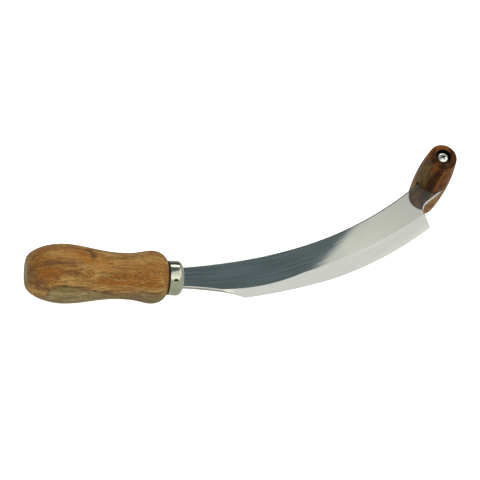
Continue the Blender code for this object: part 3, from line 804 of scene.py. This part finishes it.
def tab_side():
    """From the cross handle's axis to where the tab's round end starts."""
    return TAB_END_RADIUS * Vector((math.cos(TAB_SIDE_ANGLE), math.sin(TAB_SIDE_ANGLE)))


def tab():
    """From the top of the tip's end edge, round the hidden end, to the spine."""
    axis = Vector((CROSS_X, CROSS_Y))
    throat = rounded_corner(tip_corner()[-1], THROAT_CORNER, axis + tab_side(), THROAT_RADIUS, 24)
    heading = Vector((math.cos(TAB_HEADING), math.sin(TAB_HEADING)))
    to_axis = axis - Vector(SPINE_END)
    half_chord = math.sqrt(TAB_END_RADIUS ** 2 - to_axis.cross(heading) ** 2)
    top_corner = Vector(SPINE_END) + heading * (to_axis.dot(heading) + half_chord)
    end = arc_about(axis, TAB_END_RADIUS, TAB_SIDE_ANGLE, TAB_CORNER_ANGLE, 36)
    rounded_top = rounded_corner(end[-1], top_corner, SPINE_END, 1.5, 8)
    return chain(throat, end, rounded_top)


def tang():
    """From the neck's top shoulder, round the tang, to its bottom shoulder."""
    tip_x = BLADE_ROOT_X - TANG_LENGTH
    upper = [(BLADE_ROOT_X, TANG_ROOT_HALF_HEIGHT), (tip_x + 2, TANG_TIP_HALF_HEIGHT),
             (tip_x, TANG_TIP_HALF_HEIGHT / 2)]
    lower = [(x, -y) for x, y in reversed(upper)]
    return chain(upper, lower)


def grind_line():
    """Where the ground bevel meets each flat, from the neck to the tip's end edge."""
    first = arc_through((34.6, -8.0), (62.0, -4.5), (93.8, 7.2), 50)
    second = arc_through((93.8, 7.2), (140.0, 28.8), (184.5, 57.8), 50)
    return chain(first, second)


def share_between(x, start, full):
    """0 up to the start, rising evenly to 1."""
    return min(1, max(0, (x - start) / (full - start)))


def bevel_fullness(x):
    """How rounded the bevel is: flat in the blade's first half, less so near the tip."""
    share = share_between(x, *ROUNDED_BEVEL_X)
    return BEVEL_FULLNESS * share * share * (3 - 2 * share)


def section_point(rim, edge, z, full, share):
    """A point of the blade's section on its upper side, from the flat's rim, at share 0, to
    the edge at height z, at share 1. When full is 1 it is rounded, when 0 straight."""
    start, end = Vector((*rim, BLADE_THICKNESS / 2)), Vector((*edge, z))
    corner = ((start + end) / 2).lerp(Vector((*edge, BLADE_THICKNESS / 2)), full)
    return start * (1 - share) ** 2 + corner * 2 * share * (1 - share) + end * share ** 2


def blade_sections():
    """The rim of the flat, the edge, its height and its fullness, for each point of the
    outline, and how many of these are ground sharp."""
    sharp = cutting_edge()
    tip = chain(sharp[-1:], tip_corner())[1:]
    throat = tab()
    end_edge = [tip[-1].lerp(throat[0], i / END_EDGE_STEPS) for i in range(1, END_EDGE_STEPS)]
    outline = chain(sharp, tip, end_edge, throat, spine(), tang(), neck_underside()[:-1])
    ground = len(sharp) + len(tip) + len(end_edge)
    flat = inset(outline, [EASED_EDGE + (EASED_WIDTH - EASED_EDGE)
                           * share_between(point.x, *BUFFED_X) for point in outline])
    eased = BLADE_THICKNESS / 2 - EASED_EDGE
    half_edge = [eased] * len(outline)
    fullness = [1.0] * len(outline)
    grind = grind_line()
    for i, fraction in enumerate(fractions(sharp)):
        fade = share_between(outline[i].x, GRIND_START[0], HEEL_X)
        half_edge[i] = eased + (CUTTING_EDGE_THICKNESS / 2 - eased) * fade
        fullness[i] = max(0.0, 1 - 3 * fade) + bevel_fullness(outline[i].x)
        flat[i] = flat[i].lerp(walk(grind, fraction), min(1, 4 * fade))
    for i in range(len(sharp), ground):
        risen = max(0, i + 1 - len(sharp) - len(tip)) / END_EDGE_STEPS
        flat[i] = grind[-1]
        half_edge[i] = CUTTING_EDGE_THICKNESS / 2 * (1 - risen) + eased * risen
        fullness[i] = BEVEL_FULLNESS
    for i in range(THROAT_FADE_STEPS):
        share = (i + 1) / THROAT_FADE_STEPS
        flat[ground + i] = grind[-1].lerp(flat[ground + i], share)
        fullness[ground + i] = share
    return list(zip(flat, outline, half_edge, fullness)), ground


def add_flats(bm, upper, lower, outline):
    """Each flat is two faces that meet on a line across the tab, through the screw hole.
    Gives the hole's two rims."""
    count = len(outline)
    axis = Vector((CROSS_X, CROSS_Y))
    back = min(range(count), key=lambda i: (outline[i] - axis - tab_side()).length)
    away = min(range(count), key=lambda i: (outline[i] - axis + tab_side()).length)
    first, last = (math.atan2(point.y - axis.y, point.x - axis.x)
                   for point in (outline[away], outline[back]))
    opposite = round((last - first) % math.tau / math.tau * SCREW_SIDES)
    circle = arc_about(axis, SCREW_HOLE_RADIUS, first, first + math.tau, SCREW_SIDES)[:-1]
    rims = []
    for loop, z in ((upper, BLADE_THICKNESS / 2), (lower, -BLADE_THICKNESS / 2)):
        rim = [bm.verts.new((x, y, z)) for x, y in circle]
        rims.append(rim)
        one = [loop[i % count] for i in range(away, back + count + 1)]
        other = loop[back:away + 1]
        bm.faces.new(dict.fromkeys(one + rim[opposite::-1]))
        bm.faces.new(dict.fromkeys(other + rim[:1] + rim[:opposite - 1:-1]))
    join_rings(bm, rims)
    return rims


def make_blade(paint):
    """A flat blank with rounded edges, ground on both sides to the cutting edge."""
    sections, ground = blade_sections()
    count = len(sections)
    bm = bmesh.new()
    loops = []
    shares = (0.0, 0.25, 0.5, 0.75, 1.0)
    for share, side in [(s, 1) for s in shares] + [(s, -1) for s in reversed(shares)]:
        loop = []
        for section in sections:
            x, y, z = section_point(*section, share)
            point = Vector((x, y, side * z))
            if loop and (loop[-1].co - point).length < 0.001:
                loop.append(loop[-1])
            else:
                loop.append(bm.verts.new(point))
        loops.append(loop)
    for loop, following in zip(loops, loops[1:]):
        for i in range(count):
            j = (i + 1) % count
            bm.faces.new(dict.fromkeys((loop[i], loop[j], following[j], following[i])))
    rims = add_flats(bm, loops[0], loops[-1], [section[1] for section in sections])

    middle = len(loops) // 2
    crisp = [(loops[0], count), (loops[-1], count), (loops[middle - 1], ground),
             (loops[middle], ground), (rims[0], SCREW_SIDES), (rims[1], SCREW_SIDES)]
    for loop, span in crisp:
        for i in range(span):
            ends = {loop[i], loop[(i + 1) % len(loop)]}
            edge = bm.edges.get(tuple(ends)) if len(ends) == 2 else None
            if edge:
                edge.smooth = False
    stand_for(add_piece("blade_ground", bm, paint, creased=True), "blade")


# ---- main handle and ferrule

def swept_radius(start, end, power, steps):
    """A smooth run of a turned outline between two (x, radius) points where it is level.
    A power over 1 keeps it low for longer after the start."""
    points = []
    for i in range(1, steps + 1):
        t = i / steps
        rise = (1 - math.cos(math.pi * t ** power)) / 2
        points.append((start[0] + (end[0] - start[0]) * t,
                       start[1] + (end[1] - start[1]) * rise))
    return points


def quarter_oval(middle_x, middle_radius, reach, rise, first, last, steps, power=1.0):
    """Part of an oval in a turned outline; the angle is 0 at its top, in degrees. A power
    over 1 makes it slimmer at the shoulder."""
    angles = [math.radians(first + (last - first) * i / steps) for i in range(steps + 1)]
    return [(middle_x + math.copysign(reach * abs(math.sin(a)) ** power, a),
             middle_radius + rise * abs(math.cos(a)) ** power) for a in angles]


def main_handle_outline():
    swell = (BUTT_X + SWELL_FROM_BUTT, SWELL_RADIUS)
    waist = (-WAIST_FROM_FERRULE, WAIST_RADIUS)
    belly = (-BELLY_FROM_FERRULE, BELLY_RADIUS)
    butt = quarter_oval(swell[0], BUTT_FLAT_RADIUS, SWELL_FROM_BUTT,
                        SWELL_RADIUS - BUTT_FLAT_RADIUS, BUTT_ANGLE, 0, 36, BUTT_FULLNESS)
    shoulder = quarter_oval(belly[0], SHOULDER_MIDDLE_RADIUS, BELLY_FROM_FERRULE,
                            BELLY_RADIUS - SHOULDER_MIDDLE_RADIUS, 0, SHOULDER_ANGLE, 20)[1:]
    return (butt + swept_radius(swell, waist, 1.0, 32)
            + swept_radius(waist, belly, BELLY_DELAY, 24) + shoulder)


def make_main_handle(paint):
    spigot_radius = FERRULE_RADIUS - FERRULE_WALL - GAP
    spigot_end = FERRULE_FRONT_X - FERRULE_WALL - GAP
    spigot_chamfer = FERRULE_ROUNDING - FERRULE_WALL
    profile = [(BUTT_X, 0), *main_handle_outline(),
               (FRONT_FACE_X, FRONT_RADIUS), (FRONT_FACE_X, spigot_radius),
               (spigot_end - spigot_chamfer, spigot_radius),
               (spigot_end, spigot_radius - spigot_chamfer), (spigot_end, BORE_RADIUS),
               (-BORE_DEPTH, BORE_RADIUS), (-BORE_DEPTH - BORE_RADIUS / 2, 0)]
    handle = add_piece("main_handle_turned", turned(profile, HANDLE_SIDES), paint)
    stand_for(handle, "main_handle")


def make_ferrule(paint):
    """A drawn cup with a rounded front edge, open behind, slotted for the neck."""
    corner_x = FERRULE_FRONT_X - FERRULE_ROUNDING
    corner_radius = FERRULE_RADIUS - FERRULE_ROUNDING
    inner = FERRULE_ROUNDING - FERRULE_WALL
    outside = quarter_oval(corner_x, corner_radius, FERRULE_ROUNDING, FERRULE_ROUNDING, 0, 90, 20)
    inside = quarter_oval(corner_x, corner_radius, inner, inner, 90, 0, 8)
    rim = quarter_oval(FERRULE_BACK_X + FERRULE_RIM_ROUNDING,
                       FERRULE_RADIUS - FERRULE_RIM_ROUNDING, FERRULE_RIM_ROUNDING,
                       FERRULE_RIM_ROUNDING, -90, 0, 5)
    straight = [(rim[-1][0] + (corner_x - rim[-1][0]) * i / FERRULE_STEPS, FERRULE_RADIUS)
                for i in range(FERRULE_STEPS - 1, 0, -1)]
    shell = [*reversed(outside), *straight, *reversed(rim)]
    middle = (FERRULE_BACK_X + FERRULE_FRONT_X) / 2
    shell = [(x, radius - FERRULE_BARREL * ((x - middle) / (FERRULE_FRONT_X - middle)) ** 2)
             for x, radius in shell]
    profile = [(FERRULE_FRONT_X, 0), *shell,
               (FERRULE_BACK_X, FERRULE_RADIUS - FERRULE_WALL), *reversed(inside),
               (FERRULE_FRONT_X - FERRULE_WALL, 0)]
    bm = turned(profile, FERRULE_SIDES)
    for corner in bm.verts:
        nearness = max(0, 1 - (corner.co - PUNCH_PLACE).length / PUNCH_RADIUS)
        corner.co -= PUNCH_PLACE.normalized() * PUNCH_DEPTH * nearness ** 1.5
    ferrule = add_piece("ferrule_drawn", bm, paint)
    slot_top = NECK_TOP_Y + 2 * GAP
    slot_bottom = NECK_BOTTOM_Y - 2 * GAP
    slot = box((4 * FERRULE_WALL, slot_top - slot_bottom, BLADE_THICKNESS + 2 * GAP),
               (FERRULE_FRONT_X, (slot_top + slot_bottom) / 2, 0))
    cut_away(ferrule, slot)
    stand_for(ferrule, "ferrule")


# ---- cross handle and screw

def barrel_outline(length, steps):
    """Half of the barrel, from its middle to the edge of its flat end."""
    points = []
    straight = length - CROSS_ROUNDING
    for i in range(1, steps + 1):
        x = straight * i / steps
        points.append((x, CROSS_MIDDLE_RADIUS
                       - (CROSS_MIDDLE_RADIUS - CROSS_END_RADIUS)
                       * (x / straight) ** BARREL_FULLNESS))
    return points + quarter_oval(straight, CROSS_END_RADIUS - CROSS_ROUNDING, CROSS_ROUNDING,
                                 CROSS_ROUNDING, 0, 90, 12)[1:]


def make_cross_handle(paint):
    above = barrel_outline(CROSS_ABOVE_BLADE, 30)
    below = [(-x, radius) for x, radius in reversed(barrel_outline(CROSS_BELOW_BLADE, 30))]
    bore_end = COUNTERBORE_FLOOR - SCREW_LENGTH - BORE_SPARE
    profile = [(-CROSS_BELOW_BLADE, 0), *below, (0, CROSS_MIDDLE_RADIUS), *above,
               (CROSS_ABOVE_BLADE, COUNTERBORE_RADIUS), (COUNTERBORE_FLOOR, COUNTERBORE_RADIUS),
               (COUNTERBORE_FLOOR, SCREW_THREAD_RADIUS + GAP),
               (bore_end, SCREW_THREAD_RADIUS + GAP), (bore_end - BORE_POINT, 0)]
    bm = turned(profile, CROSS_SIDES)
    stand_up(bm, CROSS_X, CROSS_Y, 0)
    handle = add_piece("cross_handle_turned", bm, paint)
    reach = 2 * CROSS_MIDDLE_RADIUS
    across = Vector((math.sin(TAB_HEADING), -math.cos(TAB_HEADING), 0))
    centre = Vector((CROSS_X, CROSS_Y, 0)) + across * (reach / 2 - SLOT_BOTTOM_OFFSET)
    slot = box((2 * reach, reach, BLADE_THICKNESS + 2 * GAP), centre, TAB_HEADING)
    cut_away(handle, slot)
    stand_for(handle, "cross_handle")


def screw_thread(bm, first_ring, start_x, turns, last_ring):
    """One helical ridge between two rings of the shank, with a flat root and crest."""
    sides = len(first_ring)
    steps = turns * sides

    def corner(step, part):
        share, radius = SCREW_RIDGE[part]
        angle = math.tau * step / sides
        return bm.verts.new((start_x - SCREW_PITCH * (step / sides + share),
                             radius * math.cos(angle), radius * math.sin(angle)))

    root = [corner(step, 0) for step in range(steps + sides + 1)]
    strips = [root] + [[corner(step, part) for step in range(steps + 1)] for part in (1, 2, 3)]
    strips.append(root[sides:])
    for strip, following in zip(strips, strips[1:]):
        for i in range(steps):
            bm.faces.new((strip[i], strip[i + 1], following[i + 1], following[i]))
    for i in range(sides):
        j = (i + 1) % sides
        bm.faces.new((first_ring[i], first_ring[j], root[i + 1], root[i]))
        bm.faces.new((root[steps + i], root[steps + i + 1], last_ring[j], last_ring[i]))
    bm.faces.new([first_ring[0]] + [strip[0] for strip in strips])
    bm.faces.new([last_ring[0]] + [strip[steps] for strip in reversed(strips)])


def recess_cutter(seat):
    """A cross of four tapered arms, which narrows downwards."""
    bm = bmesh.new()
    corners = [(RECESS_ARM, -RECESS_HALF_WIDTH), (RECESS_ARM, RECESS_HALF_WIDTH),
               (1.2 * RECESS_HALF_WIDTH, 1.2 * RECESS_HALF_WIDTH)]
    layers = []
    for z, scale in ((SCREW_HEAD_HEIGHT - RECESS_DEPTH, RECESS_TAPER),
                     (SCREW_HEAD_HEIGHT + RECESS_OVERCUT, 1)):
        layer = []
        for quarter in range(4):
            turn = Matrix.Rotation(math.radians(90 * quarter), 2)
            for corner in corners:
                layer.append(bm.verts.new((*(turn @ Vector(corner) * scale), z)))
        layers.append(layer)
    join_rings(bm, layers)
    for layer in layers:
        bm.faces.new(layer)
    place = Matrix.Translation((CROSS_X, CROSS_Y, seat)) @ Matrix.Rotation(RECESS_TURN, 4, "Z")
    bmesh.ops.transform(bm, matrix=place, verts=bm.verts)
    return bm


def make_screw(paint):
    """Pan head wood screw, drawn along x with its head's seat at x = 0."""
    bm = bmesh.new()
    dome = [(SCREW_HEAD_HEIGHT, 0)]
    dome += quarter_oval(SCREW_HEAD_HEIGHT - HEAD_DOME, 0, HEAD_DOME, SCREW_HEAD_RADIUS,
                         90, 0, 16)[1:]
    thread_start = SCREW_THREAD_LENGTH - SCREW_LENGTH
    lead_in = thread_start - SCREW_LEAD_IN
    tip_start = SCREW_POINT_LENGTH - SCREW_LENGTH
    shank = [(0, SCREW_HEAD_RADIUS), (0, SCREW_SHANK_RADIUS), (thread_start, SCREW_SHANK_RADIUS),
             (thread_start - SCREW_SHOULDER, SCREW_CORE_RADIUS)]
    rings = turned_rings(bm, dome + shank + [(tip_start, SCREW_CORE_RADIUS)], SCREW_SIDES)
    point = [bm.verts.new((-SCREW_LENGTH, 0, 0))]
    join_rings(bm, rings[:-1])
    join_rings(bm, [rings[-1], point])
    turns = int((lead_in - tip_start) / SCREW_PITCH) - 1
    screw_thread(bm, rings[-2], lead_in, turns, rings[-1])
    seat = COUNTERBORE_FLOOR + GAP
    stand_up(bm, CROSS_X, CROSS_Y, seat)
    screw = add_piece("cross_handle_screw_fine", bm, paint)
    cut_away(screw, recess_cutter(seat))
    stand_for(screw, "cross_handle_screw")


# ---- stage

def stage_object(name, bm, material):
    """Part of the stage that the metal doesn't mirror."""
    mesh = bpy.data.meshes.new(name)
    bm.to_mesh(mesh)
    bm.free()
    mesh.materials.append(material)
    stage = bpy.data.objects.new(name, mesh)
    bpy.context.collection.objects.link(stage)
    stage.visible_glossy = False
    return stage


def pale_paint(name):
    """White that glows a little."""
    paint = Finish(name, Roughness=0.9, Specular_IOR_Level=0.1,
                   Emission_Color=(1, 1, 1, 1), Emission_Strength=FLOOR_GLOW)
    paint.colour((0.6, 0.6, 0.6, 1))
    return paint.material


def make_floor():
    bm = bmesh.new()
    bmesh.ops.create_grid(bm, x_segments=1, y_segments=1, size=FLOOR_SIZE)
    stage_object("floor", bm, pale_paint("pale_floor"))


def make_backdrop():
    """A pale round wall near the edge of the floor, which leaves the light as it is."""
    bm = bmesh.new()
    angles = [math.tau * i / BACKDROP_SIDES for i in range(BACKDROP_SIDES)]
    join_rings(bm, [[bm.verts.new((BACKDROP_RADIUS * math.cos(a),
                                   BACKDROP_RADIUS * math.sin(a), z)) for a in angles]
                    for z in (0.0, BACKDROP_HEIGHT)])
    backdrop = stage_object("backdrop", bm, pale_paint("pale_backdrop"))
    backdrop.visible_diffuse = False
    backdrop.visible_shadow = False


def make_softbox(name, place, size, radiance, colour=(1, 1, 1), turn=0.0, seen=True):
    """A rectangular light that faces down. One that isn't seen gives no reflection."""
    data = bpy.data.lights.new(name, "AREA")
    data.shape = "RECTANGLE"
    data.size, data.size_y = size
    data.energy = radiance * math.pi * size[0] * size[1]
    data.color = colour
    light = bpy.data.objects.new(name, data)
    light.matrix_world = Matrix.Translation(place) @ Matrix.Rotation(turn, 4, "Z")
    light.visible_glossy = seen
    bpy.context.collection.objects.link(light)
    return light


def make_lights():
    along = Vector((math.cos(SOFTBOX_HEADING), math.sin(SOFTBOX_HEADING), 0))
    across = Vector((-along.y, along.x, 0))
    height = Vector((0, 0, SOFTBOX_HEIGHT))
    for (near, far), (start, end), radiance, colour in SOFTBOX_PANELS:
        centre = across * (near + far) / 2 + along * (start + end) / 2 + height
        make_softbox("softbox", centre, (end - start, far - near), radiance, colour,
                     SOFTBOX_HEADING)
    make_softbox("dome", (0, 0, DOME_HEIGHT), DOME_SIZE, DOME_RADIANCE, seen=False)
    lamp = make_softbox("back_lamp", BACK_LAMP, BACK_LAMP_SIZE, BACK_LAMP_RADIANCE,
                        (1.0, 1.0, 0.85))
    lamp.rotation_mode = "QUATERNION"
    lamp.rotation_quaternion = (-Vector(BACK_LAMP)).to_track_quat("-Z", "Y")


def make_surroundings():
    """What the metal mirrors away from the softboxes: a dim room over a grey table."""
    world = bpy.data.worlds.new("studio")
    world.use_nodes = True
    sky = Nodes(world.node_tree)
    x, y, z = sky.parts(sky.node("ShaderNodeTexCoord", {}).outputs["Generated"])
    room = sky.mix(z.fade(0.1, 0.8), (0.07, 0.08, 0.078), (0.110, 0.155, 0.167))
    front = sky.mix(y.fade(0.0, -0.35), room, (0.56, 0.57, 0.45))
    behind = sky.mix(z.fade(0.0, -0.2), (0.13, 0.135, 0.12), (0.52, 0.53, 0.45))
    table = sky.mix(y.fade(0.2, 0.5), (0.50, 0.51, 0.42), behind)
    under = sky.mix(z.fade(0.0, -0.3), front, table)
    whole = sky.mix(x.fade(0.35, 0.7), under, (0.60, 0.60, 0.54))
    sky.feed(sky.tree.nodes["Background"].inputs["Color"], whole)
    bpy.context.scene.world = world


def make_camera():
    data = bpy.data.cameras.new("camera")
    data.lens = CAMERA_LENS
    data.sensor_width = CAMERA_SENSOR
    camera = bpy.data.objects.new("camera", data)
    turn = Matrix((CAMERA_RIGHT, CAMERA_UP, CAMERA_BACK)).transposed().to_4x4()
    camera.matrix_world = Matrix.Translation(CAMERA_PLACE) @ turn
    bpy.context.collection.objects.link(camera)
    bpy.context.scene.camera = camera


# ---- the knife

make_camera()
make_blade(blade_steel())
make_main_handle(honey_wood())
make_ferrule(ferrule_metal())
make_cross_handle(dark_wood())
make_screw(screw_steel())
adhesive_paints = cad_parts["tang_adhesive"].data.materials
adhesive_paints.clear()
adhesive_paints.append(adhesive())
make_floor()
make_backdrop()
make_lights()
make_surroundings()
bpy.context.scene.view_settings.view_transform = "Standard"
